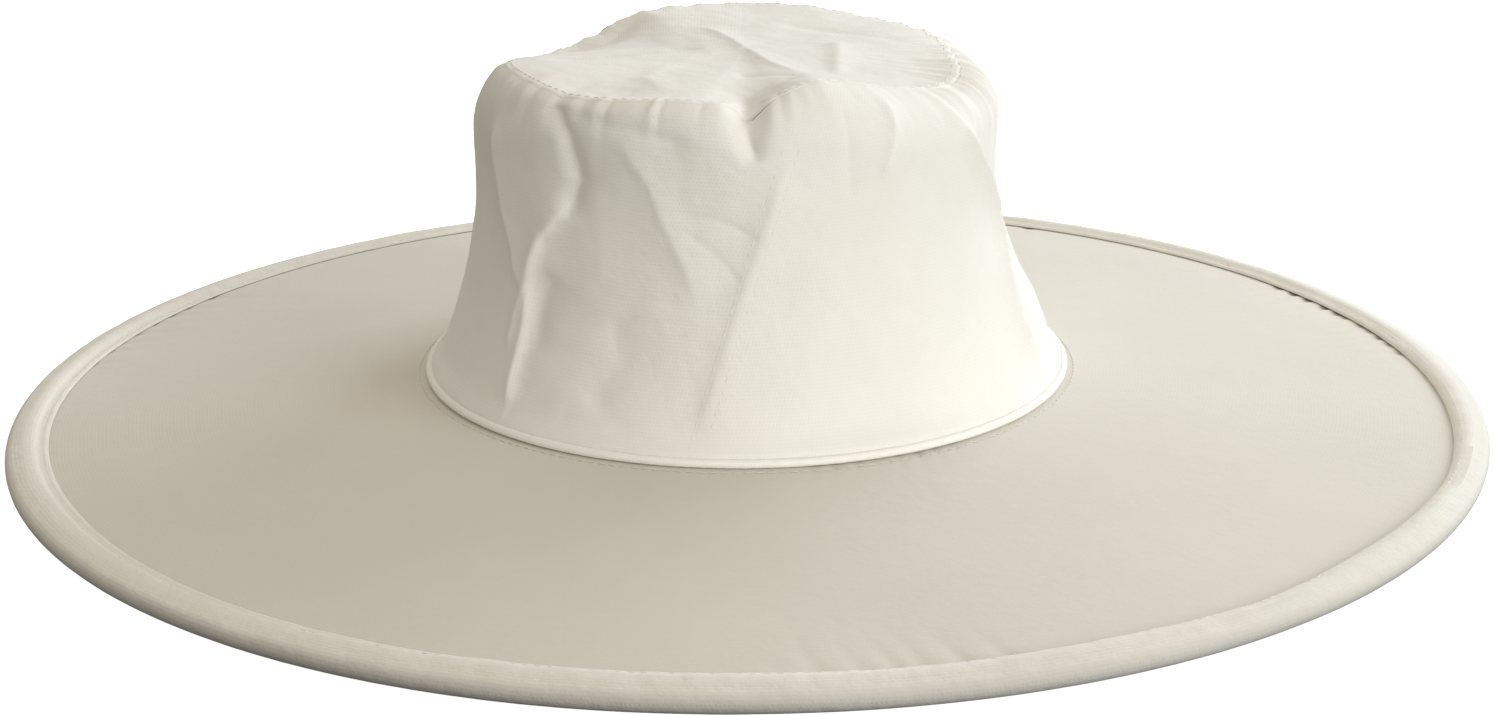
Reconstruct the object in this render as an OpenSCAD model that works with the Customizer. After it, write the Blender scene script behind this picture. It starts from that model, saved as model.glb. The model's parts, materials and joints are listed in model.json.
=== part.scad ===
// Wide-brimmed cloth hat of the kind that a beekeeping veil is worn over.
// A spring-steel hoop in the bound edge holds a two-ply brim flat, and a soft two-panel crown
// stands on it. The crown's round tip can be pushed down until the crown lies flat for packing.
// The origin is on the surface that the rim rests on, under the middle of the crown.
// +Z is up and -Y is the front.

/* [Brim] */
// Outer diameter of the brim, over its bound edge
brim_d = 450; // [400:5:500]
// Height of the crown seam above the seam of the bound edge
brim_rise = 9.3; // [4:0.1:20]
// Thickness of one ply of the hat's cloth
cloth_t = 0.5; // [0.3:0.05:0.8]

/* [Rim] */
// Width of the bound edge, seen from above
rim_w = 12.5; // [11:0.5:18]
// Thickness of the bound edge round the hoop
rim_h = 6; // [5.6:0.2:8]
// Thickness of the binding tape, folded double
tape_t = 0.8; // [0.5:0.1:0.9]
// Diameter of the spring-steel wire of the hoop
wire_d = 2; // [1.4:0.1:2]
// Length of the crimped sleeve over the ends of the wire
ferrule_l = 24; // [15:1:35]

/* [Crown] */
// Diameter of the crown where it meets the brim
base_d = 194; // [184:1:204]
// Diameter of the crown at its waist
waist_d = 167; // [160:1:172]
// Diameter of the seam round the tip
tip_seam_d = 152; // [146:1:156]
// Height of the tip seam above the brim
crown_h = 94; // [85:1:105]
// Rise of the tip's middle above its seam
tip_rise = 3; // [1:0.5:6]
// Lean of the two crown seams away from upright, in degrees
seam_lean = 18; // [0:1:24]

/* [Head opening] */
// Inner diameter of the sweatband at its foot
head_d = 188; // [180:1:189]
// Height of the sweatband's upright foot
foot_h = 6; // [4:0.5:6]
// Full height of the sweatband
sweatband_h = 28; // [20:1:32]

/* [Hidden] */
$fn = 128;

CREAM = [0.93, 0.91, 0.85];
SHADED_CREAM = [0.86, 0.83, 0.75];
THREAD = [0.97, 0.96, 0.92];
STEEL = [0.62, 0.63, 0.65];

play = 0.1;          // clearance between plies that are sewn together
body_gap = 0.4;      // clearance between the tip and the side panels
far = 400;           // longer than anything here

// The bound edge: a round bead with a tail that closes on the plies of the brim
rim_r = brim_d / 2;
rim_in_r = rim_r - rim_w;
bead_r = rim_h / 2;
bead_at = [rim_r - bead_r, bead_r];
tail_run = 4;        // width over which the tape opens out from the plies to the bead
tail_lift = 1.2;     // height of the plies over the middle of the bead, at the tape's inner edge
ply_rim_z = bead_r + tail_lift;

// The two plies of the brim run from inside the crown seam to the edge of the bead
base_r = base_d / 2;
seam_allowance = 2;  // hem inside the crown seam, and how far the sweatband hangs through it
hole_r = base_r - seam_allowance;
ply_edge_r = bead_at[0] - bead_r;

// The hoop lies a little outside the middle of the bead, against the edge of the tape
wire_at = [bead_at[0] + 0.6, bead_r];
wire_r = wire_d / 2;
ferrule_bore_r = wire_r + play / 2;
ferrule_r = wire_r + 0.5;
ferrule_angle = ferrule_l / wire_at[0] * 180 / PI;
butt_angle = 0.3;    // gap between the wire's two ends, hidden in the ferrule

// Heights of the crown
base_z = ply_rim_z + brim_rise + cloth_t + play;
tip_z = base_z + crown_h;
knee_z = base_z + 0.7 * crown_h;   // the wall is upright here, and its shoulder starts
waist_r = waist_d / 2;
tip_seam_r = tip_seam_d / 2;
shoulder_end = 80;   // degrees of the shoulder's quarter turn that the side panels cover
tip_r = shoulder(shoulder_end)[0];

// Sewing thread, drawn as a flat cord as wide and as thick as a row of stitches
thread_w = 0.6;
thread_t = 0.3;
seam_margin = 2;     // distance of a row of stitches from the edge that it holds

// Piping in the crown seam: a filler cord in a bias-cut cover
piping_r = 1.25;
filler_r = 0.8;
piping_at = [base_r + piping_r + play, brim_z(base_r + piping_r) + cloth_t + piping_r + play];

// Tape that binds the tip seam inside the crown
tip_tape_h = 9;
tip_tape_t = 0.5;

// The sweatband: its upright foot lines the head opening, and above it the band follows the wall
head_r = head_d / 2;
sweatband_t = 0.6;
sweatband_z = base_z - seam_allowance;

// Height of the upper ply's underside, which the lower ply lies against, at radius r
function brim_z(r) = ply_rim_z + brim_rise * (rim_in_r - r) / (rim_in_r - base_r);

// Outside of the side panels, from the brim up: a flare to the waist, then a round shoulder
function flare_r(z) = waist_r + (base_r - waist_r) * pow((knee_z - z) / (knee_z - base_z), 2);
function shoulder(a) = [
    tip_seam_r + (waist_r - tip_seam_r) * cos(a),
    knee_z + (tip_z - body_gap - knee_z) * sin(a) / sin(shoulder_end)
];
function side_line() = concat(
    [for (k = [0 : 0.1 : 0.95]) let (z = base_z + k * (knee_z - base_z)) [flare_r(z), z]],
    [for (a = [0 : 10 : shoulder_end]) shoulder(a)]
);

// Outside of the sweatband
function sweatband_r(z) = min(head_r + sweatband_t, flare_r(z) - cloth_t - play);
function sweatband_line() = concat(
    [[head_r + sweatband_t, sweatband_z]],
    [for (z = [foot_h : (sweatband_h - foot_h) / 4 : sweatband_h])
        [sweatband_r(sweatband_z + z), sweatband_z + z]]
);

// Top of the tip at radius r
function tip_top(r) = tip_z + cloth_t + tip_rise * (1 - pow(r / tip_r, 2));

function reverse(list) = [for (i = [len(list) - 1 : -1 : 0]) list[i]];
function moved(list, dr, dz) = [for (p = list) [p[0] + dr, p[1] + dz]];

// A band of cloth or thread turned round Z: the line, and the same line moved by t inwards
module turned_band(line, t) {
    rotate_extrude() polygon(concat(line, reverse(moved(line, -t, 0))));
}

// A sheet turned round Z: the line, and the same line raised by t
module turned_sheet(line, t) {
    rotate_extrude() polygon(concat(line, reverse(moved(line, 0, t))));
}

// A ring of stitches that lies on a sloping surface, whose height at radius r is given at both edges
module stitch_ring(r, z_in, z_out, t = thread_t) {
    turned_sheet([[r - thread_w / 2, z_in], [r + thread_w / 2, z_out]], t);
}

// One ply of the brim, whose underside lies at height z above the seam between the plies
module brim_ply(z) {
    turned_sheet([for (r = [hole_r, ply_edge_r]) [r, brim_z(r) + z]], cloth_t);
}

module brim_upper() {
    color(SHADED_CREAM) brim_ply(0);
}

module brim_under() {
    color(SHADED_CREAM) brim_ply(-cloth_t - play);
}

// Outside of the binding tape on its top (side = 1) or underside (-1), at radius r over the tail
function tail_z(r, side) =
    let (
        tail = ply_rim_z - play / 2 + side * (cloth_t + play + tape_t),
        bead = bead_r + side * bead_r
    ) tail + (bead - tail) * (r - rim_in_r) / tail_run;

// Section of the bound edge, smaller by inset all round
module rim_outline(inset) {
    bead_start = rim_in_r + tail_run;
    translate(bead_at) circle(bead_r - inset);
    polygon([
        [rim_in_r, tail_z(rim_in_r, -1) + inset],
        [bead_start, inset],
        [bead_at[0], inset],
        [bead_at[0], rim_h - inset],
        [bead_start, rim_h - inset],
        [rim_in_r, tail_z(rim_in_r, 1) - inset]
    ]);
}

module rim_binding() {
    color(CREAM) difference() {
        rotate_extrude() rim_outline(0);
        rotate_extrude() rim_outline(tape_t);
    }
}

module rim_hoop() {
    color(STEEL) rotate([0, 0, 90 + butt_angle / 2])
        rotate_extrude(angle = 360 - butt_angle) translate(wire_at) circle(wire_r);
}

module rim_ferrule() {
    color(STEEL) rotate([0, 0, 90 - ferrule_angle / 2])
        rotate_extrude(angle = ferrule_angle) translate(wire_at) difference() {
            circle(ferrule_r);
            circle(ferrule_bore_r);
        }
}

module rim_stitching(side) {
    r = rim_in_r + seam_margin;
    stitch_ring(
        r,
        tail_z(r - thread_w / 2, side) + side * play / 2,
        tail_z(r + thread_w / 2, side) + side * play / 2,
        side * thread_t
    );
}

module rim_stitching_top() {
    color(THREAD) rim_stitching(1);
}

module rim_stitching_under() {
    color(THREAD) rim_stitching(-1);
}

module base_piping() {
    color(THREAD) rotate_extrude() translate(piping_at) difference() {
        circle(piping_r);
        circle(filler_r + play / 2);
    }
}

module piping_cord() {
    color(CREAM) rotate_extrude() translate(piping_at) circle(filler_r);
}

module base_stitching() {
    r = piping_at[0] + piping_r + seam_margin;
    lift = cloth_t + play / 2;
    color(THREAD) stitch_ring(r, brim_z(r - thread_w / 2) + lift, brim_z(r + thread_w / 2) + lift);
}

module sweatband() {
    color(CREAM) turned_band(sweatband_line(), sweatband_t);
}

// One row near the upper edge of the sweatband, on its inner face
module sweatband_stitching() {
    high = sweatband_z + sweatband_h - seam_margin;
    line = [for (z = [high - thread_w, high]) [sweatband_r(z) - sweatband_t - play / 2, z]];
    color(THREAD) turned_band(line, thread_t);
}

// Leans its children with the plane that both crown seams lie in
module leaning() {
    translate([0, 0, (base_z + tip_z) / 2]) rotate([0, seam_lean, 0]) children();
}

// The soft wall of the crown, cut down to what lies on one side of its seams
module side_panel(side) {
    intersection() {
        turned_band(side_line(), cloth_t);
        leaning() translate([side * far / 2, 0, 0]) cube(far, center = true);
    }
}

module side_panel_left() {
    color(CREAM) side_panel(-1);
}

module side_panel_right() {
    color(CREAM) side_panel(1);
}

// Rows of topstitching on both sides of a crown seam, on the front (facing = -1) or the back (1)
module seam_stitching(facing) {
    line = moved(side_line(), play / 2, 0);
    intersection() {
        turned_band(moved(line, thread_t, 0), thread_t);
        leaning() for (side = [-1, 1])
            translate([side * (seam_margin + thread_w / 2), facing * far / 2, 0])
                cube([thread_w, far, far], center = true);
    }
}

module front_seam_stitching() {
    color(THREAD) seam_stitching(-1);
}

module back_seam_stitching() {
    color(THREAD) seam_stitching(1);
}

module crown_tip() {
    line = [for (k = [0 : 0.125 : 1]) [tip_r * k, tip_top(tip_r * k) - cloth_t]];
    color(CREAM) turned_sheet(line, cloth_t);
}

module tip_seam_tape() {
    color(THREAD) turned_band(
        [[tip_seam_r, tip_z - tip_tape_h], [tip_seam_r, tip_z - play / 2]],
        tip_tape_t
    );
}

module tip_stitching() {
    r = tip_r - 2 * seam_margin;
    color(THREAD) stitch_ring(
        r,
        tip_top(r - thread_w / 2) + play / 2,
        tip_top(r + thread_w / 2) + play / 2
    );
}

brim_upper();
brim_under();
rim_binding();
rim_hoop();
rim_ferrule();
rim_stitching_top();
rim_stitching_under();
base_piping();
piping_cord();
base_stitching();
sweatband();
sweatband_stitching();
side_panel_left();
side_panel_right();
front_seam_stitching();
back_seam_stitching();
crown_tip();
tip_seam_tape();
tip_stitching();
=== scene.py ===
"""A cream-white cloth hat with a wide sprung brim and a soft, slumped crown.

Lengths are in millimetres until a mesh is made, which is in metres. Angles go round the crown in
degrees, from 0 at the front (-Y) through 90 at +X to 180 at the back.
"""
import json
import math

import bmesh
import bpy
import numpy as np
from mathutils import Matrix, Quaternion, Vector, noise

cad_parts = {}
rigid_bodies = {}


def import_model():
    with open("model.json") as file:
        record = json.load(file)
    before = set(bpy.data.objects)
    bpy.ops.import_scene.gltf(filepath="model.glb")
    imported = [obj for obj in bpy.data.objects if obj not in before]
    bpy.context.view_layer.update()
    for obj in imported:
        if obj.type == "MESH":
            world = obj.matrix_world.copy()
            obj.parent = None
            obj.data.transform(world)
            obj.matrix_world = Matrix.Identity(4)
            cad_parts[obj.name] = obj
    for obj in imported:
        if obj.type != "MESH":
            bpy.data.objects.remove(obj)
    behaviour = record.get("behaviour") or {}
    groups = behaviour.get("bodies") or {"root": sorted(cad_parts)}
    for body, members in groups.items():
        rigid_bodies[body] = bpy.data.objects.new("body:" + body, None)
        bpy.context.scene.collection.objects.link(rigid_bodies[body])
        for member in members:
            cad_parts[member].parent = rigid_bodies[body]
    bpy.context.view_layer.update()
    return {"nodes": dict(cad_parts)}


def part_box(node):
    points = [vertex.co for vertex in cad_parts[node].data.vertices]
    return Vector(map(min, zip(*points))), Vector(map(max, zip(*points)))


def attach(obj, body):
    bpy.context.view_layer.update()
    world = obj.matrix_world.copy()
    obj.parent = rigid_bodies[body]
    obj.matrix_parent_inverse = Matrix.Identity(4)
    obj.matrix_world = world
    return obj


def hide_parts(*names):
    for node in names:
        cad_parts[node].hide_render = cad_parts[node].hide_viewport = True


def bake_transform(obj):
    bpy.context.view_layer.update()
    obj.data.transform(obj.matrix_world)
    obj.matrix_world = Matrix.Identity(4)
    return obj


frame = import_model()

MM = 0.001
TURN = np.pi / 180


# ---- Sizes, read from the frame ----

def lowest(node):
    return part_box(node)[0] / MM


def highest(node):
    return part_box(node)[1] / MM


RIM_R = highest("rim_binding").x
RIM_TOP = highest("rim_binding").z
BEAD_R = RIM_TOP / 2
FLAP = 12.5   # how far in the binding reaches under the brim
CLOTH = 0.5
PLY_IN = highest("brim_upper").x - 124   # the ply reaches 2 mm in behind the wall's foot
PLY_OUT = highest("brim_upper").x
PLY_IN_Z = highest("brim_upper").z
PLY_OUT_Z = lowest("brim_upper").z + CLOTH
UNDER_DROP = highest("brim_upper").z - highest("brim_under").z
BASE_R = highest("side_panel_right").x
BASE_Z = lowest("side_panel_left").z
TIP_Z = lowest("crown_tip").z
WAIST_R = BASE_R - 13.5
FOLD_R = BASE_R - 8   # radius at which the width of a fold is measured round the wall
KNEE_Z = BASE_Z + 0.7 * (TIP_Z - BASE_Z)
PIPING_R = (highest("base_piping").z - lowest("base_piping").z) / 2
PIPING_AT = highest("base_piping").x - PIPING_R
PIPING_Z = lowest("base_piping").z + PIPING_R
BAND_R = highest("sweatband").x
BAND_LOW = lowest("sweatband").z
BAND_HIGH = highest("sweatband").z
SEAM_SLOPE = math.tan(math.radians(18))
SEAM_MID_Z = (BASE_Z + TIP_Z) / 2

# The seam round the tip as it has slumped: degrees round, its height, its radius, and the height
# over which the wall rounds in to it
TIP_SEAM = [
    (-180, 112.3, 75, 16), (-159, 111.4, 76, 16), (-148, 109.4, 76, 16), (-142, 105.3, 76, 16),
    (-129, 102, 76, 14), (-116, 102, 75, 14), (-102, 105.5, 73, 17), (-88, 108.3, 72, 19),
    (-76, 110.8, 73, 19), (-60, 111.3, 74.5, 16), (-47, 110.5, 76, 13), (-41, 109.6, 76.5, 11),
    (-30, 110.4, 77, 11), (-17, 111.6, 77, 11), (-6, 111.6, 77, 11), (-2.2, 110.2, 75, 11),
    (0.3, 104.6, 72, 11), (2.8, 109, 73, 11), (6, 111.9, 73.5, 12), (11, 113.8, 70.5, 14),
    (18, 115.2, 66.5, 15), (27, 113.3, 66, 15), (39, 110, 67.4, 15), (50, 108.2, 69, 13),
    (58, 107.2, 69.4, 12), (72, 107.2, 66.6, 12), (90, 107, 63.7, 12), (107, 107, 66.4, 12),
    (122, 107.4, 72, 13), (133, 107.7, 75.5, 14), (150, 109.2, 76, 15), (164, 111.6, 75.5, 16),
]
HEIGHT, RADIUS, SHOULDER = 1, 2, 3
SEAM_TUCK = 0.4       # how far the cloth turns in at that seam
SHOULDER_END = 0.96   # how level the wall has become there, where 1 is quite level

# The puckers of that seam where it is gathered: degrees round, their height and how far they reach
GATHERS = [
    (-180, 0.4, 4), (-150, 0.7, 5), (-115, 0.6, 5), (-75, 0.35, 4), (-48, 0.4, 4), (0, 0.4, 4),
    (30, 0.3, 4), (56, 0.6, 5), (66, 1.5, 9), (122, 1.5, 9), (134, 0.6, 5),
]
PUCKER, REACH = 1, 2

# Puckers in front, one by one: degrees round, half-width in degrees, height
FRONT_GATHERS = [
    (-42.5, 1.3, -1.5), (-38, 1.6, 1.1), (-34.8, 0.9, -0.6), (-31.5, 1.2, 1.3), (-28.6, 0.8, -1.1),
    (-23, 1.8, 0.4), (-18.6, 1.0, 1.2), (-16.9, 0.7, -0.9), (-12, 1.5, 0.4), (-8.7, 0.9, -0.8),
    (-4.6, 1.5, 0.9), (3.2, 0.7, -0.7), (5.4, 0.8, 0.8), (7.6, 0.6, -0.7), (9.8, 0.8, 0.6),
    (13.5, 1.2, 0.5), (24, 1.6, -0.4), (30.5, 1.5, 0.8), (36, 1.2, -0.4), (45, 1.6, -0.6),
]

# How far the wall has slumped in at the right and left: heights and depths
RIGHT_SLUMP = [(20, 0), (36, -1.2), (47, -4), (54, -5.2), (62, -6.9), (68, -8.1), (90, -8.3)]
LEFT_SLUMP = [(16, 0), (30, -0.4), (50, -1.2), (63, -1.6), (90, -1.9)]

# Broad hollows (-) and bulges (+) of the wall: degrees round, half-width, height, half-height, depth
DENTS = [
    (84, 14, 28, 11, 1.2),
    (-126, 20, 74, 24, -3.5),
    (166, 26, 56, 28, -2.5),
    (14, 24, 66, 22, 0.6),
    (-24, 10, 48, 24, -0.8),
    (-68, 7, 80, 22, -0.8),
]

# Inner edge of the binding on top of the brim: degrees round and radius
BINDING_EDGE = [
    (-180, 213), (-150, 213.8), (-120, 212.8), (-90, 212.6), (-74, 212.3), (-60, 211.6), (-48, 212.2),
    (-38, 212.6), (-22, 212.6), (2, 212.4), (12, 213.4), (26, 213), (36, 215.0), (46, 213.2),
    (57, 214), (66, 215.2), (79, 214.2), (115, 213), (150, 213.5),
]


# ---- Curves and fields ----

def smooth(t):
    t = np.clip(t, 0, 1)
    return t * t * (3 - 2 * t)


def around(points, degrees, column=1, blur=2.0):
    """The value in that column of the points, as one smooth curve right round."""
    step = 0.5
    table = np.arange(-180, 180, step)
    values = np.interp(table, [p[0] for p in points], [p[column] for p in points], period=360)
    kernel = np.exp(-0.5 * (np.arange(-8, 8 + step, step) / blur) ** 2)
    padded = np.concatenate([values[-len(kernel):], values, values[:len(kernel)]])
    values = np.convolve(padded, kernel / kernel.sum(), "same")[len(kernel):-len(kernel)]
    return np.interp(degrees, table, values, period=360)


def apart(degrees, centre):
    """Degrees from centre, from -180 to 180."""
    return (degrees - centre + 180) % 360 - 180


def place(degrees, radius, z):
    """Points in metres, with one row of x, y, z for each angle."""
    a = np.asarray(degrees) * TURN
    r = np.asarray(radius) * MM
    return np.stack(np.broadcast_arrays(r * np.sin(a), -r * np.cos(a), np.asarray(z) * MM), -1)


def rough(points, size, seed, octaves=3):
    """Fractal noise, about -1 to 1, at points in metres. Size is that of its largest lumps, in mm."""
    flat = points.reshape(-1, 3) / (size * MM) + seed * 17.3
    values = [noise.fractal(p, 1.0, 2.0, octaves) for p in flat.tolist()]
    return np.array(values).reshape(points.shape[:-1])


def fold(degrees, z, path, rise, left, right, crest):
    """Rise of a fold that runs along path, a list of (degrees, height) from its foot upwards.

    Left and right are the widths of its flanks and crest the rounding of its top. It fades in and
    out over the first and last fifth of its length.
    """
    x = apart(degrees, path[0][0]) * TURN * FOLD_R
    points = [(apart(a, path[0][0]) * TURN * FOLD_R, h) for a, h in path]
    lengths = [math.dist(p, q) for p, q in zip(points, points[1:])]
    done, nearest = 0.0, np.full(np.shape(x + z), 1e9)
    side, along = np.zeros_like(nearest), np.zeros_like(nearest)
    for (px, pz), (qx, qz), length in zip(points, points[1:], lengths):
        dx, dz = (qx - px) / length, (qz - pz) / length
        t = np.clip((x - px) * dx + (z - pz) * dz, 0, length)
        ox, oz = x - px - t * dx, z - pz - t * dz
        distance = np.hypot(ox, oz)
        closer = distance < nearest
        nearest = np.where(closer, distance, nearest)
        side = np.where(closer, ox * dz - oz * dx, side)
        along = np.where(closer, (done + t) / sum(lengths), along)
        done += length
    width = np.where(side > 0, right, left)
    fade = smooth(np.minimum(along, 1 - along) / 0.2)
    return rise * fade * np.exp(-(np.hypot(nearest, crest) - crest) / width)


def seam_degrees(z, radius):
    """Where the leaning front seam crosses a height of the wall."""
    return np.degrees(np.arcsin(SEAM_SLOPE * (z - SEAM_MID_Z) / radius))


SEAM_PATH = [
    (float(seam_degrees(z, r)), z) for z, r in ((15, 96), (36, 89), (60, 85), (85, 83), (103, 81))
]

# Folds of the wall that show from the front: rise, left flank, right flank, crest, path
FRONT_FOLDS = [
    (2.4, 6, 1.5, 0.5, [(-47, 14), (-46.8, 30), (-46, 45), (-45.8, 57), (-44.6, 63), (-42.6, 71),
                        (-38.6, 78), (-34.5, 85)]),
    (1.2, 1.4, 1.6, 0.4, [(-50, 36), (-49, 47), (-46, 58)]),
    (-2.6, 2.0, 3.4, 0.9, [(-37, 76), (-34, 89), (-36.6, 101), (-44, 111.5)]),
    (-1.2, 5, 3, 1.0, [(-40, 62), (-43, 50), (-43, 36)]),
    (3.4, 4.0, 12, 0.4, [(-47, 52), (-50, 66), (-54, 75), (-57.2, 88), (-58.9, 104)]),
    (1.2, 4, 7, 0.8, [(-8, 54), (-11.5, 68), (-15.4, 79), (-18.2, 90), (-26, 104)]),
    (-0.35, 1.0, 1.6, 0.4, [(-14, 82.3), (-5.7, 81), (-1, 78.2), (4, 73)]),
    (-0.32, 1.0, 1.6, 0.4, [(-12, 78), (-5.8, 71), (0, 62)]),
    (-1.1, 2.5, 3.5, 1.5, [(-37, 106), (-21.7, 104.6), (-9, 100.5)]),
    (1.5, 3.6, 12, 1.3, SEAM_PATH),
    (-1.7, 1.4, 1.8, 0.7, [(2.6, 96), (1.2, 102), (0.5, 107), (0.3, 113)]),
    (1.1, 1.6, 3.0, 0.6, [(27, 88), (28.6, 97), (30.6, 105), (32.6, 114)]),
    (-0.4, 1, 2.2, 0.5, [(20.6, 84), (20, 95), (19.8, 112)]),
    (3.2, 5, 1.3, 0.35, [(69, 12), (67.9, 22), (65.5, 32), (65, 43), (65.6, 52), (67.6, 61), (65.3, 73),
                        (54.7, 90), (50, 100), (47.5, 110)]),
    (-1.8, 1.6, 9, 0.8, [(73, 14), (71, 30), (70, 46), (72, 60), (69, 76), (58, 92), (52, 106)]),
    (-0.9, 5, 6, 2.0, [(-30, 24), (-24, 40), (-26, 54)]),
    (0.6, 4, 6, 1.5, [(22, 30), (34, 40), (50, 46)]),
    (-0.5, 5, 5, 2.0, [(30, 60), (38, 72), (44, 88)]),
]


def far_folds():
    """Folds of the sides and back, which are like those in front, at roughly even distances."""
    rng = np.random.default_rng(11)
    folds = []
    for k, degrees in enumerate(np.linspace(108, 258, 11)):
        foot, top = rng.uniform(26, 66), rng.uniform(94, 106)
        lean, bend = rng.uniform(-13, 13), rng.uniform(-5, 5)
        start = degrees + rng.uniform(-5, 5)
        path = [(start, foot), (start + lean / 2 + bend, (foot + top) / 2), (start + lean, top)]
        rise = rng.uniform(1.0, 2.6) * (1 if k % 2 else -1)
        folds.append((rise, rng.uniform(2.5, 7), rng.uniform(2.5, 7), 1.0, path))
    return folds


def gather_list():
    """Centres, half-widths in degrees and heights of the small puckers of the tip seam."""
    rng = np.random.default_rng(5)
    first, last = FRONT_GATHERS[0][0], FRONT_GATHERS[-1][0]
    centres, degrees = [], last + 5
    while degrees < first + 360 - 4:
        centres.append(degrees)
        degrees += rng.uniform(3.0, 6.0)
    centres = np.array(centres)
    signs = np.where(np.arange(len(centres)) % 2, 1, -1)
    heights = signs * rng.uniform(0.6, 1.2, len(centres))
    return FRONT_GATHERS + list(zip(centres, rng.uniform(0.9, 1.6, len(centres)), heights))


ALL_FOLDS = FRONT_FOLDS + far_folds()
GATHER_LIST = gather_list()


def gathers(degrees):
    """Height of the seam's puckers in mm."""
    wave = sum(h * np.exp(-(apart(degrees, c) / w) ** 2) for c, w, h in GATHER_LIST)
    return wave * around(GATHERS, degrees, PUCKER, 3)


def pucker_near(degrees, distance):
    """Height of the puckers at a distance from the tip seam, where they start from nothing."""
    reach = around(GATHERS, degrees, REACH, 3)
    return gathers(degrees) * (np.exp(-distance / reach) - np.exp(-distance / 0.7))


def seam_line(degrees):
    """Height and radius of the tip seam, with its puckers."""
    pucker = gathers(degrees)
    height = around(TIP_SEAM, degrees, HEIGHT, 1.0) + 0.4 * pucker
    return height, around(TIP_SEAM, degrees, RADIUS, 2.0) + 0.4 * pucker


def shoulder_level(degrees, z):
    """0 below the shoulder, rising to almost 1 where the wall meets the tip."""
    shoulder = around(TIP_SEAM, degrees, SHOULDER, 4)
    return np.clip((z - seam_line(degrees)[0] + shoulder) / shoulder, 0, 1) * SHOULDER_END


def lift(degrees, z):
    """How far the puckers raise the wall, where it lies too flat for them to push it outwards."""
    below = seam_line(degrees)[0] - z
    return 0.8 * pucker_near(degrees, below) * shoulder_level(degrees, z) ** 3


def wall(degrees, z):
    """Outer radius of the crown's wall at a height."""
    top, seam_r = seam_line(degrees)
    held = smooth((z - BASE_Z) / 12)
    body = WAIST_R + (BASE_R - WAIST_R) * (np.clip(KNEE_Z - z, 0, None) / (KNEE_Z - BASE_Z)) ** 2
    for centre, half_width, slump in ((95, 36, RIGHT_SLUMP), (-90, 34, LEFT_SLUMP)):
        depth = np.interp(z, [h for h, _ in slump], [d for _, d in slump])
        body = body + depth * np.exp(-(apart(degrees, centre) / half_width) ** 2)
    for centre, half_width, mid, half_height, depth in DENTS:
        away = (apart(degrees, centre) / half_width) ** 2 + ((z - mid) / half_height) ** 2
        body = body + held * depth * np.exp(-away)
    over_piping = 1.7 * smooth((z - BASE_Z) / 1.5) * np.exp(-((z - PIPING_Z - 1.8) / 3) ** 2)
    body = body + over_piping
    level = shoulder_level(degrees, z)
    end = math.sqrt(1 - SHOULDER_END ** 2)
    radius = seam_r + (body - seam_r) * (np.sqrt(1 - level ** 2) - end) / (1 - end)
    below = top - z
    lively = held * smooth(below / 4)
    for rise, left, right, crest, path in ALL_FOLDS:
        radius = radius + lively * fold(degrees, z, path, rise, left, right, crest)
    points = place(degrees, body, z)
    slack = 0.55 * rough(points, 36, 8, 2)
    crumple = 0.22 * rough(points, 12, 9, 3)
    radius = radius + lively * (slack + crumple)
    radius = radius + pucker_near(degrees, below) * (1 - level ** 3)
    return radius - SEAM_TUCK * np.exp(-(below / 0.8) ** 2)


# ---- Meshes ----

def new_piece(name, points, faces, material, flat_uv=None):
    """A smooth mesh piece. flat_uv gives each point's place on the flat cloth, in metres."""
    mesh = bpy.data.meshes.new(name)
    mesh.from_pydata(points.reshape(-1, 3).tolist(), [], faces)
    mesh.polygons.foreach_set("use_smooth", [True] * len(mesh.polygons))
    if flat_uv is not None:
        layer = mesh.uv_layers.new(name="Cloth")
        corner = np.empty(len(mesh.loops), int)
        mesh.loops.foreach_get("vertex_index", corner)
        layer.data.foreach_set("uv", flat_uv.reshape(-1, 2)[corner].ravel())
    mesh.materials.append(material)
    mesh.update()
    piece = bpy.data.objects.new(name, mesh)
    bpy.context.scene.collection.objects.link(piece)
    return piece


def grid_faces(rows, columns, closed):
    """Quads of a rows x columns grid. closed joins its last column to its first."""
    last = columns if closed else columns - 1
    return [
        (r * columns + c, r * columns + (c + 1) % columns,
         (r + 1) * columns + (c + 1) % columns, (r + 1) * columns + c)
        for r in range(rows - 1) for c in range(last)
    ]


def cloth_grid(name, points, material, closed, thickness=CLOTH, outward=1):
    """A cloth piece through a rows x columns grid of points, thickened away from its face."""
    rows, columns = points.shape[:2]
    along = np.linalg.norm(np.diff(points, axis=1, append=points[:, :1]), axis=-1).cumsum(1)
    up = np.linalg.norm(np.diff(points, axis=0, prepend=points[:1]), axis=-1).cumsum(0)
    piece = new_piece(name, points, grid_faces(rows, columns, closed), material,
                      np.stack([along, up], -1))
    weld(piece)
    return thicken(piece, thickness, outward)


def weld(piece):
    """Makes one point of any that lie in the same place, as a ring does that has closed up."""
    mesh = bmesh.new()
    mesh.from_mesh(piece.data)
    bmesh.ops.remove_doubles(mesh, verts=mesh.verts, dist=1e-6)
    mesh.to_mesh(piece.data)
    mesh.free()


CUT_EDGE_ANGLE = math.radians(60)   # edges that turn by more than this are shaded as cut edges


def thicken(piece, thickness, outward=1):
    """Gives a sheet its thickness, away from the face that it was drawn as."""
    solid = piece.modifiers.new("thickness", "SOLIDIFY")
    solid.thickness = thickness * MM
    solid.offset = -outward
    solid.use_quality_normals = True
    apply_all(piece)
    piece.data.set_sharp_from_angle(angle=CUT_EDGE_ANGLE)
    return piece


def apply_all(piece):
    """Puts the result of the modifiers into the mesh."""
    graph = bpy.context.evaluated_depsgraph_get()
    mesh = bpy.data.meshes.new_from_object(piece.evaluated_get(graph))
    piece.modifiers.clear()
    piece.data = mesh


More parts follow.
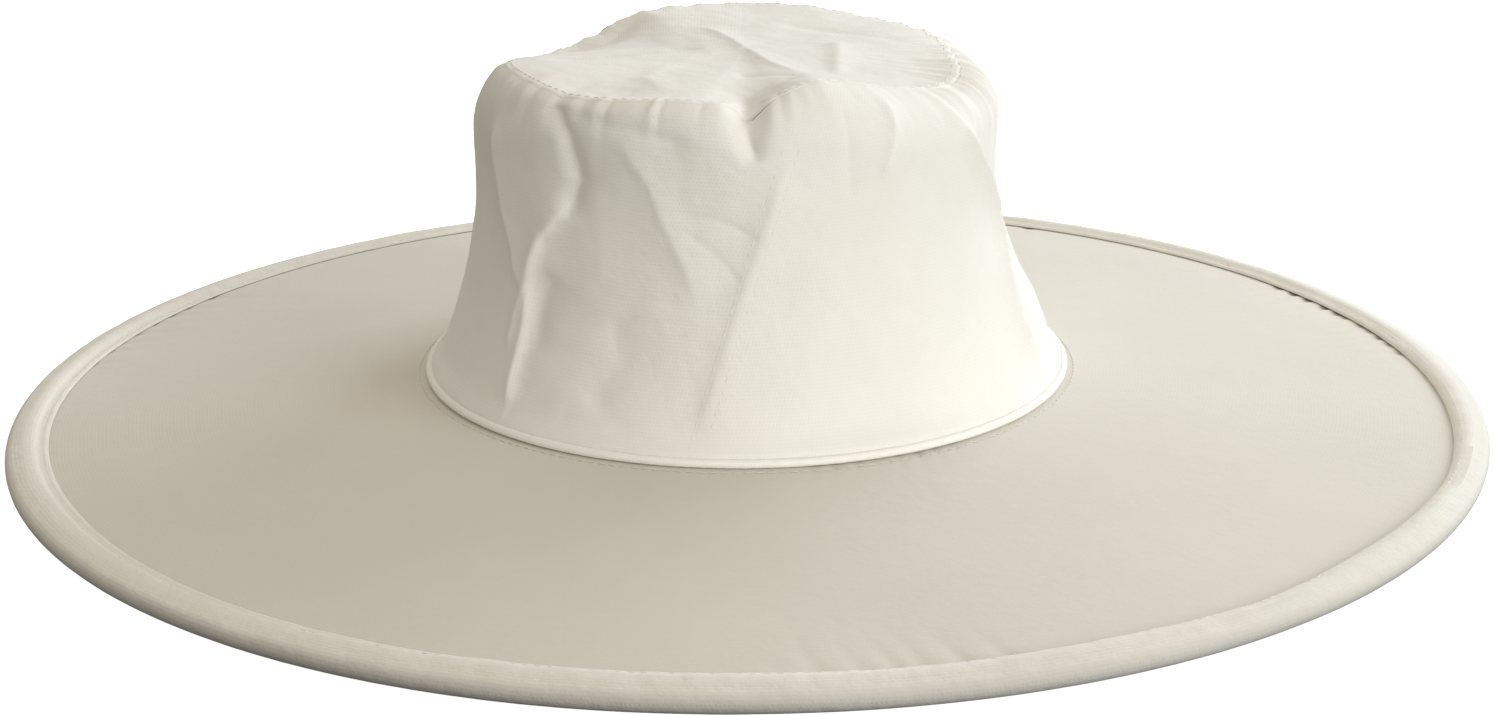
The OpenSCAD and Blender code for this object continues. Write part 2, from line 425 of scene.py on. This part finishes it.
def stitches(name, points, normals, material, pitch=3.2, length=2.3, thickness=0.3):
    """A row of stitches along a line of points in metres, each a short arched thread."""
    steps = np.linalg.norm(np.diff(points, axis=0), axis=1)
    distance = np.concatenate([[0], steps.cumsum()])
    count = int(distance[-1] / (pitch * MM))
    middle = (np.arange(count) + 0.5) * distance[-1] / count
    along = np.array([-1, -0.8, -0.4, 0, 0.4, 0.8, 1])
    girth = np.array([0.25, 0.8, 1, 1, 1, 0.8, 0.25])
    sides = 6
    where = middle[:, None] + along * length * MM / 2
    line = np.stack([np.interp(where, distance, points[:, k]) for k in range(3)], -1)
    up = np.stack([np.interp(where, distance, normals[:, k]) for k in range(3)], -1)
    up /= np.linalg.norm(up, axis=-1, keepdims=True)
    ahead = line[:, -1:] - line[:, :1]
    ahead = ahead / np.linalg.norm(ahead, axis=-1, keepdims=True)
    across = np.cross(ahead, up)
    line = line + up * ((0.5 - along ** 4)[None, :, None] * thickness * MM * 0.6)
    turn = np.arange(sides) * 2 * np.pi / sides
    ring = (across[:, :, None] * np.cos(turn)[:, None] + up[:, :, None] * np.sin(turn)[:, None])
    tube = line[:, :, None] + ring * girth[None, :, None, None] * thickness * MM / 2
    rings = len(along)
    faces = []
    for k in range(count):
        first = k * rings * sides
        faces += [tuple(first + i for i in face) for face in grid_faces(rings, sides, True)]
        faces.append(tuple(first + i for i in reversed(range(sides))))
        faces.append(tuple(first + (rings - 1) * sides + i for i in range(sides)))
    return new_piece(name, tube, faces, material)


def level_ring(name, points, up):
    """A closed row of stitches on a level face, which looks up if up is 1 and down if it is -1."""
    closed = np.concatenate([points, points[:1]])
    return stitches(name, closed, np.tile([0.0, 0, up], (len(closed), 1)), THREAD)


# ---- Materials ----

def node(tree, kind, **values):
    made = tree.nodes.new(kind)
    for key, value in values.items():
        if key in made.inputs:
            made.inputs[key].default_value = value
        else:
            setattr(made, key, value)
    return made


ONE_MM_BANDS = 314   # scale at which the wave node's bands are 1 mm apart on a map in metres


def cloth_material(name, light, dark, pitch=0.55, weave=0.25, crumple=0.35, sheen=0.2, rough=0.85):
    """Plain-weave cotton: threads at that pitch in mm over fine crumples, with soft uneven tone."""
    material = bpy.data.materials.new(name)
    material.use_nodes = True
    tree = material.node_tree
    link = tree.links.new
    shader = tree.nodes["Principled BSDF"]
    shader.inputs["Roughness"].default_value = rough
    shader.inputs["Sheen Weight"].default_value = sheen
    shader.inputs["Sheen Roughness"].default_value = 0.5
    shader.inputs["Specular IOR Level"].default_value = 0.25
    flat = node(tree, "ShaderNodeUVMap", uv_map="Cloth")
    solid = node(tree, "ShaderNodeTexCoord")
    bands = []
    for direction in ("X", "Y"):
        band = node(tree, "ShaderNodeTexWave", bands_direction=direction, Distortion=1.2,
                    Scale=ONE_MM_BANDS / pitch / 2)
        band.inputs["Detail Scale"].default_value = 3
        link(flat.outputs["UV"], band.inputs["Vector"])
        bands.append(band)
    threads = node(tree, "ShaderNodeMath", operation="MAXIMUM")
    link(bands[0].outputs["Fac"], threads.inputs[0])
    link(bands[1].outputs["Fac"], threads.inputs[1])
    lumps = node(tree, "ShaderNodeTexNoise", Scale=260.0, Detail=4.0, Roughness=0.55)
    link(solid.outputs["Object"], lumps.inputs["Vector"])
    tone = node(tree, "ShaderNodeTexNoise", Scale=18.0, Detail=5.0, Roughness=0.6)
    link(solid.outputs["Object"], tone.inputs["Vector"])
    ramp = node(tree, "ShaderNodeValToRGB")
    ramp.color_ramp.elements[0].position = 0.35
    ramp.color_ramp.elements[0].color = (*dark, 1)
    ramp.color_ramp.elements[1].position = 0.65
    ramp.color_ramp.elements[1].color = (*light, 1)
    link(tone.outputs["Fac"], ramp.inputs["Fac"])
    # The gaps between the threads are made a little darker: partly the open weave, partly painted shade in
    # those small hollows.
    gaps = node(tree, "ShaderNodeMapRange")
    gaps.inputs["To Min"].default_value = 0.965
    link(threads.outputs[0], gaps.inputs["Value"])
    shade = node(tree, "ShaderNodeVectorMath", operation="SCALE")
    link(ramp.outputs["Color"], shade.inputs[0])
    link(gaps.outputs["Result"], shade.inputs["Scale"])
    link(shade.outputs["Vector"], shader.inputs["Base Color"])
    coarse = node(tree, "ShaderNodeBump", Strength=crumple, Distance=0.0006)
    link(lumps.outputs["Fac"], coarse.inputs["Height"])
    fine = node(tree, "ShaderNodeBump", Strength=weave, Distance=0.0001)
    link(threads.outputs[0], fine.inputs["Height"])
    link(coarse.outputs["Normal"], fine.inputs["Normal"])
    link(fine.outputs["Normal"], shader.inputs["Normal"])
    return material


def metal_material(name, colour, rough):
    """Drawn wire or crimped sheet: metal with a fine uneven grain in its colour and roughness."""
    material = bpy.data.materials.new(name)
    material.use_nodes = True
    tree = material.node_tree
    shader = tree.nodes["Principled BSDF"]
    shader.inputs["Metallic"].default_value = 1.0
    solid = node(tree, "ShaderNodeTexCoord")
    grain = node(tree, "ShaderNodeTexNoise", Scale=900.0, Detail=3.0)
    tree.links.new(solid.outputs["Object"], grain.inputs["Vector"])
    ramp = node(tree, "ShaderNodeValToRGB")
    ramp.color_ramp.elements[0].color = (*[0.8 * c for c in colour], 1)
    ramp.color_ramp.elements[1].color = (*colour, 1)
    tree.links.new(grain.outputs["Fac"], ramp.inputs["Fac"])
    tree.links.new(ramp.outputs["Color"], shader.inputs["Base Color"])
    gloss = node(tree, "ShaderNodeMapRange")
    gloss.inputs["To Min"].default_value = rough
    gloss.inputs["To Max"].default_value = rough + 0.15
    tree.links.new(grain.outputs["Fac"], gloss.inputs["Value"])
    tree.links.new(gloss.outputs["Result"], shader.inputs["Roughness"])
    return material


CROWN_CLOTH = cloth_material("crown_cotton", (0.85, 0.83, 0.775), (0.82, 0.80, 0.745))
# Painted shade: the brim's cotton is the crown's cloth given a darker, greyer colour, standing in for the
# duller light on the brim.
BRIM_CLOTH = cloth_material("brim_cotton", (0.725, 0.684, 0.603), (0.70, 0.66, 0.58), crumple=0.2)
TAPE_CLOTH = cloth_material("binding_cotton", (0.83, 0.80, 0.725), (0.80, 0.765, 0.685), crumple=0.5)
PIPING_CLOTH = cloth_material("piping_cotton", (0.90, 0.885, 0.83), (0.87, 0.855, 0.80), crumple=0.4)
TWILL = cloth_material("sweatband_twill", (0.84, 0.82, 0.76), (0.80, 0.78, 0.72), pitch=0.9,
                       weave=0.7, crumple=0.2)
HERRINGBONE = cloth_material("seam_tape_cotton", (0.86, 0.84, 0.78), (0.82, 0.80, 0.74), pitch=0.9,
                             weave=0.8)
THREAD = cloth_material("sewing_thread", (0.85, 0.83, 0.775), (0.80, 0.78, 0.72), weave=0.1,
                        crumple=0.8, sheen=0.3, rough=0.65)
CORD = cloth_material("filler_cord", (0.80, 0.77, 0.68), (0.74, 0.71, 0.62), crumple=0.9)
STEEL = metal_material("spring_steel", (0.56, 0.57, 0.58), 0.25)
BRASS = metal_material("crimped_brass", (0.72, 0.58, 0.32), 0.3)


# ---- Brim ----

def brim_top(radius):
    """Height of the brim's upper face."""
    return np.interp(radius, [PLY_IN, PLY_OUT], [PLY_IN_Z, PLY_OUT_Z])


# Runs of small radial puckers in the brim's cloth: first and last degree, spacing, height in mm,
# and whether they start from the binding or from the crown seam
PUCKER_RUNS = [
    (5, 17, 2.3, 0.9, True), (97, 119, 2.1, 0.9, True), (150, 176, 2.7, 0.5, True),
    (-118, -96, 2.9, 0.5, True), (11, 36, 3.5, 0.45, False), (-150, -120, 4.0, 0.4, False),
]


def ripples(degrees, radius):
    """Height of the small radial puckers where the brim is sewn."""
    rng = np.random.default_rng(3)
    total = np.zeros(np.broadcast(degrees, radius).shape)
    edge = around(BINDING_EDGE, degrees)
    for first, last, step, height, at_rim in PUCKER_RUNS:
        reach = np.clip(edge - radius if at_rim else radius - PIPING_AT, 0, None)
        half_width, slant, fade = (0.55, 0.07, 6.5) if at_rim else (1.1, 0.25, 9)
        for centre in np.arange(first, last, step):
            spot = centre + rng.uniform(-0.6, 0.6)
            deep, long = rng.uniform(0.4, 1.0) * height, fade * rng.uniform(0.6, 1.3)
            total -= deep * np.exp(-(apart(degrees, spot - slant * reach) / half_width) ** 2 - reach / long)
    return total


def brim_ply(name, drop, lively):
    """One ply of the brim, which is stretched flat but for its puckers."""
    radius = np.linspace(PLY_IN, PLY_OUT, 46)[:, None]
    degrees = np.linspace(-180, 180, 960, endpoint=False)[None, :]
    z = brim_top(radius) + 0 * degrees
    span = np.sin(np.pi * np.clip((radius - PLY_IN) / (PLY_OUT - PLY_IN), 0, 1))
    points = place(degrees, radius, z)
    z = z + 0.5 * span * rough(points, 90, 2, 2) + lively * ripples(degrees, radius)
    return cloth_grid(name, place(degrees, radius, z - drop), BRIM_CLOTH, True, CLOTH * 0.9, -1)


def make_brim():
    """The two plies that are stretched between the hoop and the crown seam."""
    upper = brim_ply("brim_cloth_top", 0.0, 1.0)
    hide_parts("brim_upper")
    under = brim_ply("brim_cloth_under", UNDER_DROP, 0.4)
    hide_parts("brim_under")
    for ply in (upper, under):
        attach(ply, "brim")


# ---- Bound edge ----

# How full the binding is, from 0 where its inner edge lies flat beside a groove to 1 where it is
# one plump roll
FULLNESS = [(-180, 0.3), (-130, 0.0), (-40, 0.0), (-14, 0.8), (20, 1.0), (88, 1.0), (108, 0.35), (150, 0.3)]


GROOVE_POINT = 4   # the point of the binding's outline where its stitches lie


def binding_profile(degrees):
    """Outside of the folded tape from its inner edge on top, round the hoop, to its edge beneath.

    Gives the radius and height of each point of the outline in turn.
    """
    inner = around(BINDING_EDGE, degrees)
    ply = brim_top(inner)
    full = around(FULLNESS, degrees, 1, 6)
    bead = RIM_R - BEAD_R
    flat_rows = [(0.4, 0.1), (0.0, 0.3), (0.3, 0.65), (1.6, 0.85), (2.7, 0.55), (3.6, 1.3), (5.2, 2.2)]
    full_rows = [(0.4, 0.1), (0.0, 0.4), (0.2, 0.9), (1.0, 1.6), (2.2, 2.1), (3.6, 2.4), (5.4, 2.55)]
    rows = []
    for (flat_in, flat_up), (full_in, full_up) in zip(flat_rows, full_rows):
        across = flat_in + full * (full_in - flat_in)
        rows.append((inner + across, ply + flat_up + full * (full_up - flat_up)))
    rows.append((bead - 1.6 + 0 * inner, RIM_TOP + 0.35 + 0.3 * full))
    for angle in np.linspace(78, -90, 13):
        a = angle * TURN
        rows.append((bead + BEAD_R * np.cos(a), BEAD_R + BEAD_R * np.sin(a) + 0 * inner))
    flap = RIM_R - FLAP
    under = brim_top(flap) - UNDER_DROP - CLOTH
    rows += [(0.5 * bead + 0.5 * flap + 1.5, 0.05), (flap + 3.5, 0.4), (flap + 1.5, under - 1.5),
             (flap + 0.3, under - 0.8), (flap, under - 0.2), (flap + 0.4, under)]
    return rows


def make_binding():
    """The tape folded over the hoop, with the row of stitches on each side of the brim."""
    degrees = np.linspace(-180, 180, 1080, endpoint=False)
    rows = [np.broadcast_arrays(r, z, degrees) for r, z in binding_profile(degrees)]
    points = np.stack([place(degrees, r, z) for r, z, _ in rows])
    creases = rough(points, 9, 4, 3)
    lively = np.interp(np.arange(len(rows)), [0, 3, 6, 10, 18, 26], [0, 0.3, 0.35, 0.12, 0.05, 0])
    radius = np.stack([r for r, _, _ in rows])
    z = np.stack([h for _, h, _ in rows]) + creases * lively[:, None] * 0.8
    z = np.clip(z, 0, None)
    tape = cloth_grid("rim_tape", place(degrees, np.minimum(radius, RIM_R), z), TAPE_CLOTH, True, 0.6, -1)
    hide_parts("rim_binding")
    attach(tape, "brim")
    groove_r, groove_z = binding_profile(degrees)[GROOVE_POINT]
    row = level_ring("rim_stitches_top", place(degrees, groove_r, groove_z - 0.12), 1)
    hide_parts("rim_stitching_top")
    flap = RIM_R - FLAP
    below = place(degrees, flap + 2, brim_top(flap) - UNDER_DROP - CLOTH - 1.55)
    under = level_ring("rim_stitches_under", below, -1)
    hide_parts("rim_stitching_under")
    for piece in (row, under):
        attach(piece, "brim")


# ---- Crown seam: piping and its stitches ----

def make_piping():
    """The covered cord in the crown seam, with the stitches that hold its allowance."""
    degrees = np.linspace(-180, 180, 900, endpoint=False)
    turn = np.linspace(0, 360, 20, endpoint=False) * TURN
    twist = 0.05 * np.sin(degrees * TURN * 160)
    size = PIPING_R * (1 + 0.04 * rough(place(degrees, PIPING_AT, PIPING_Z), 12, 6, 2))
    rows = []
    for a in turn:
        swell = 1 + twist * np.sin(a) * 0.4
        rows.append(place(degrees, PIPING_AT + size * swell * np.cos(a), PIPING_Z + size * swell * np.sin(a)))
    points = np.stack(rows)
    faces = grid_faces(len(turn), len(degrees), True)
    last = (len(turn) - 1) * len(degrees)
    count = len(degrees)
    faces += [(last + c, last + (c + 1) % count, (c + 1) % count, c) for c in range(count)]
    along = np.broadcast_to(degrees * TURN * PIPING_AT * MM, points.shape[:2])
    across = np.broadcast_to((np.arange(len(turn)) * 0.0004)[:, None], points.shape[:2])
    cover = new_piece("crown_piping", points, faces, PIPING_CLOTH, np.stack([along, across], -1))
    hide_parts("base_piping")
    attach(cover, "brim")
    radius = highest("base_stitching").x - 0.3
    line = place(degrees, radius, brim_top(radius) + ripples(degrees, radius) + 0.1)
    row = level_ring("base_stitches", line, 1)
    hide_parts("base_stitching")
    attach(row, "brim")


# ---- Crown ----


def bend_with_crown(piece):
    """Puts the piece's placing into its mesh; it is not bent with the crown."""
    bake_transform(piece)


def panel_grid(side):
    """Angles and heights of one side panel's grid, from the front seam round to the back seam."""
    level = 1 - (1 - np.linspace(0, 1, 128)[:, None]) ** 1.4
    share = np.linspace(0, 1, 330)[None, :]
    share = share - 0.04 * np.sin(2 * np.pi * share)
    degrees = side * 180 * share + 0 * level
    for _ in range(3):
        z = BASE_Z + level * (seam_line(degrees)[0] - BASE_Z)
        front = seam_degrees(z[:, :1], wall(degrees[:, :1], z[:, :1]))
        back = 180 - seam_degrees(z[:, -1:], wall(degrees[:, -1:], z[:, -1:]))
        span = back - front if side > 0 else back - 360 - front
        degrees = front + share * span
    return degrees, z


SEAM_ROW = 2.3   # distance of a row of stitches from its seam


def seam_groove(distance):
    """How far a panel turns in at a joining seam, by the distance from it."""
    at_seam, at_row = 0.03, 0.02
    row = np.exp(-((distance - SEAM_ROW) / 0.7) ** 2)
    return at_seam * np.exp(-(distance / 0.4) ** 2) + at_row * row


def make_panel(name, side, cad_name):
    """One half of the crown's wall, on the left if side is -1 and on the right if it is 1."""
    degrees, z = panel_grid(side)
    radius = wall(degrees, z)
    nearer = np.minimum(np.abs(degrees - degrees[:, :1]), np.abs(degrees - degrees[:, -1:]))
    radius = radius - seam_groove(nearer * TURN * radius)
    points = place(degrees, radius, z + lift(degrees, z))
    panel = cloth_grid(name, points, CROWN_CLOTH, False, CLOTH * 0.8, side)
    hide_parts(cad_name)
    bend_with_crown(panel)


def make_seam_stitches(name, at_front, cad_name):
    """Two rows of stitches, one on each panel, beside a joining seam."""
    z = np.linspace(BASE_Z + 3.5, 101, 160)
    rows = []
    for k, side in enumerate((-1, 1)):
        middle = seam_degrees(z, wall(seam_degrees(z, WAIST_R), z))
        degrees = middle if at_front else 180 - middle
        degrees = degrees + side * SEAM_ROW / (TURN * wall(degrees, z))
        radius = wall(degrees, z) - seam_groove(SEAM_ROW) - 0.1
        line = place(degrees, radius, z)
        rows.append(stitches(f"{name}_{k}", line, place(degrees, 1000.0, 0 * z), THREAD))
    piece = join(rows, name)
    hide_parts(cad_name)
    bend_with_crown(piece)


def join(pieces, name):
    """One piece of several, under a new name."""
    bpy.ops.object.select_all(action="DESELECT")
    for piece in pieces:
        piece.select_set(True)
    bpy.context.view_layer.objects.active = pieces[0]
    bpy.ops.object.join()
    pieces[0].name = name
    return pieces[0]


def make_sweatband():
    """A twill band inside the opening, which lies against the wall above its lower edge."""
    degrees = np.linspace(-180, 180, 720, endpoint=False)[None, :]
    z = np.linspace(BAND_LOW, BAND_HIGH, 26)[:, None] + 0 * degrees
    clear = 1.5
    radius = np.minimum(BAND_R, wall(degrees, np.maximum(z, BASE_Z + 1)) - clear)
    turned = 0.35 * np.exp(-((BAND_HIGH - z) / 1.2) ** 2)
    points = place(degrees, radius - turned, z)
    band = cloth_grid("sweatband_cloth", points, TWILL, True, 0.6, 1)
    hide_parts("sweatband")
    bend_with_crown(band)
    height = BAND_LOW + 3.2
    line = place(degrees[0], radius[3] - 0.65, height)
    inward = -place(degrees[0], 1000.0, 0 * degrees[0])
    row = stitches("sweatband_stitches", np.concatenate([line, line[:1]]),
                   np.concatenate([inward, inward[:1]]), THREAD)
    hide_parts("sweatband_stitching")
    bend_with_crown(row)


def make_seam_tape():
    """Cotton tape that binds the tip seam on the inside of the wall."""
    degrees = np.linspace(-180, 180, 720, endpoint=False)[None, :]
    drop = np.linspace(9.0, 1.2, 9)[:, None]
    z = seam_line(degrees)[0] - drop
    radius = wall(degrees, z) - CLOTH - 0.35
    tape = cloth_grid("tip_seam_tape_cloth", place(degrees, radius, z), HERRINGBONE, True, 0.4, 1)
    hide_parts("tip_seam_tape")
    bend_with_crown(tape)


# Folds of the tip: rise, left flank, right flank, crest, path in (x, y)
TIP_FOLDS = [
    (1.0, 2.5, 5, 0.8, [(18.8, -42.5), (7.7, -20.8), (-7.3, 25.9), (-16.9, 43)]),
    (-1.3, 2.5, 4, 1.0, [(0.9, -70), (-0.5, -58), (8, -50), (18, -44)]),
    (-0.9, 1.6, 2.6, 0.7, [(18.8, -43), (8, -38), (-4, -34.5)]),
    (0.9, 2.2, 3, 0.7, [(26.9, -38), (28, -8), (29, 20)]),
    (-1.8, 7, 7, 2.0, [(-60, 34), (-44, 42), (-34, 62)]),
    (-0.9, 5, 5, 2.0, [(-60, -10), (-35, 0), (-10, 8)]),
    (0.7, 4, 6, 1.5, [(-20, -64), (-28, -40), (-20, -15)]),
    (-0.8, 4, 5, 1.5, [(52, 20), (35, 30), (10, 45)]),
]
TIP_MIDDLE = 111.0
TIP_TUCK = (0.6, 0.75)   # how far out and down the tip's edge turns in under the wall


def tip_fold(x, y, rise, left, right, crest, path):
    """A fold of the tip, which is drawn as the wall's are, with x in place of the way round."""
    turned = [(math.degrees(a / FOLD_R), b) for a, b in path]
    return fold(np.degrees(x / FOLD_R), y, turned, rise, left, right, crest)


def tip_surface(degrees, share):
    """Radius and height of the tip, where share is 1 at its seam and 0 at its middle."""
    top, seam_r = seam_line(degrees)
    soft_top = around(TIP_SEAM, degrees, HEIGHT, 8)
    soft_r = around(TIP_SEAM, degrees, RADIUS, 8)
    inward = seam_r * (1 - share)
    radius = share * (soft_r + (seam_r - soft_r) * share ** 6) - SEAM_TUCK * np.exp(-(inward / 0.8) ** 2)
    height = TIP_MIDDLE + (soft_top - TIP_MIDDLE) * share ** 2.2 + (top - soft_top) * share ** 14
    height = height + 0.7 * (1 - np.exp(-inward / 1.4)) * np.exp(-inward / 45)
    height = height + 0.4 * pucker_near(degrees, inward)
    points = place(degrees, radius, height)
    x, y = points[..., 0] / MM, points[..., 1] / MM
    free = smooth(inward / 8)
    for rise, left, right, crest, path in TIP_FOLDS:
        height = height + free * tip_fold(x, y, rise, left, right, crest, path)
    return radius, height + free * (0.9 * rough(points, 42, 21, 2) + 0.22 * rough(points, 12, 22, 3))


def make_tip():
    """The round top of the crown, with the row of stitches inside its seam."""
    share = np.sin(np.linspace(0, 1, 70) * np.pi / 2)[::-1, None] ** 0.9
    degrees = np.linspace(-180, 180, 600, endpoint=False)[None, :]
    radius, height = tip_surface(degrees, share)
    radius = np.concatenate([radius[:1] + TIP_TUCK[0], radius])
    height = np.concatenate([height[:1] - TIP_TUCK[1], height])
    tip = cloth_grid("crown_tip_cloth", place(degrees, radius, height), CROWN_CLOTH, True, CLOTH * 0.8, 1)
    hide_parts("crown_tip")
    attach(tip, "crown_top")
    ring = np.linspace(-180, 180, 720)
    line = place(ring, *tip_surface(ring, 1 - 2.6 / seam_line(ring)[1]))
    row = stitches("tip_stitches", line, np.tile([0.0, 0, 1], (len(ring), 1)), THREAD)
    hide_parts("tip_stitching")
    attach(row, "crown_top")


# ---- Camera, light and floor ----

def look_from(location, target):
    return (Vector(target) - Vector(location)).to_track_quat("-Z", "Y")


def make_camera():
    """A camera a little above the brim, in front of the hat."""
    camera = bpy.data.objects.new("camera", bpy.data.cameras.new("camera"))
    bpy.context.scene.collection.objects.link(camera)
    camera.data.lens = 61.37
    camera.data.sensor_width = 36
    distance, elevation, tilt, roll = 0.8, 0.33, 0.013, -0.0093
    rim_middle = Vector((0, 0, BEAD_R * MM))
    camera.location = rim_middle + distance * Vector((0, -math.cos(elevation), math.sin(elevation)))
    camera.rotation_mode = "QUATERNION"
    aimed = look_from(camera.location, rim_middle)
    camera.rotation_quaternion = aimed @ Quaternion((1, 0, 0), tilt) @ Quaternion((0, 0, 1), roll)
    bpy.context.scene.camera = camera


def area_light(name, location, target, size, power, colour):
    light = bpy.data.lights.new(name, "AREA")
    light.shape = "RECTANGLE"
    light.size, light.size_y = size
    light.energy = power
    light.color = colour
    lamp = bpy.data.objects.new(name, light)
    lamp.location = location
    lamp.rotation_mode = "QUATERNION"
    lamp.rotation_quaternion = look_from(location, target)
    bpy.context.scene.collection.objects.link(lamp)
    return lamp


def make_crown_fill():
    """A soft light on the crown and its piping alone, which are brighter than the brim."""
    fill = area_light("crown_fill", (0.25, -1.26, 0.2), (0, 0, 0.09), (0.8, 0.5), 4.2, (1.0, 0.985, 0.95))
    crown = bpy.data.collections.new("crown_pieces")
    for piece in bpy.context.scene.objects:
        if piece.name.startswith(("side_panel", "crown_", "tip_stitches", "front_seam", "back_seam")):
            crown.objects.link(piece)
    fill.light_linking.receiver_collection = crown


def make_studio():
    """Windows on the right, a warm ceiling, a dim room and a white floor."""
    area_light("window", (1.15, -0.95, 0.50), (0, 0, 0.04), (0.9, 0.6), 11.0, (0.95, 0.98, 1.0))
    area_light("far_window", (0.9, 0.9, 0.5), (0.1, 0, 0.02), (1.0, 0.5), 12.8, (0.80, 0.90, 1.0))
    area_light("ceiling", (-0.25, 0.75, 1.5), (0, 0, 0), (1.2, 1.2), 5.1, (1.0, 0.92, 0.84))
    world = bpy.data.worlds.new("studio")
    world.use_nodes = True
    tree = world.node_tree
    where = node(tree, "ShaderNodeTexCoord")
    split = node(tree, "ShaderNodeSeparateXYZ")
    ramp = node(tree, "ShaderNodeValToRGB")
    ramp.color_ramp.elements[0].position = 0.42
    ramp.color_ramp.elements[0].color = (0.05, 0.05, 0.055, 1)
    ramp.color_ramp.elements[1].position = 0.58
    ramp.color_ramp.elements[1].color = (0.45, 0.423, 0.371, 1)
    height = node(tree, "ShaderNodeMapRange")
    height.inputs["From Min"].default_value = -1
    tree.links.new(where.outputs["Generated"], split.inputs[0])
    tree.links.new(split.outputs["Z"], height.inputs["Value"])
    tree.links.new(height.outputs["Result"], ramp.inputs["Fac"])
    tree.links.new(ramp.outputs["Color"], tree.nodes["Background"].inputs["Color"])
    bpy.context.scene.world = world
    half = 6.0
    corners = np.array([(-half, -half, 0), (half, -half, 0), (half, half, 0), (-half, half, 0)])
    paper = bpy.data.materials.new("floor_paper")
    paper.use_nodes = True
    tree = paper.node_tree
    shader = tree.nodes["Principled BSDF"]
    shader.inputs["Roughness"].default_value = 0.9
    shader.inputs["Specular IOR Level"].default_value = 0.1
    shader.inputs["Emission Color"].default_value = (1, 1, 1, 1)
    shader.inputs["Emission Strength"].default_value = 0.9
    grain = node(tree, "ShaderNodeTexNoise", Scale=40.0, Detail=3.0)
    ramp = node(tree, "ShaderNodeValToRGB")
    ramp.color_ramp.elements[0].color = (0.93, 0.93, 0.93, 1)
    ramp.color_ramp.elements[1].color = (0.95, 0.95, 0.95, 1)
    tree.links.new(grain.outputs["Fac"], ramp.inputs["Fac"])
    tree.links.new(ramp.outputs["Color"], shader.inputs["Base Color"])
    floor = new_piece("floor", corners, [(0, 1, 2, 3)], paper)
    floor.location.z = -0.0002
    floor.visible_diffuse = False
    floor.visible_glossy = False
    bpy.context.scene.view_settings.view_transform = "Standard"


def finish_cad_nodes():
    """The hoop, its ferrule and the cord lie hidden in their casings and keep their CAD shapes."""
    for name, material in (("rim_hoop", STEEL), ("rim_ferrule", BRASS), ("piping_cord", CORD)):
        slots = frame["nodes"][name].data.materials
        slots.clear()
        slots.append(material)


make_camera()
make_studio()
make_brim()
make_binding()
make_piping()
make_sweatband()
make_panel("side_panel_left_cloth", -1, "side_panel_left")
make_panel("side_panel_right_cloth", 1, "side_panel_right")
make_seam_stitches("front_seam_stitches", True, "front_seam_stitching")
make_seam_stitches("back_seam_stitches", False, "back_seam_stitching")
make_seam_tape()
make_tip()
finish_cad_nodes()
make_crown_fill()
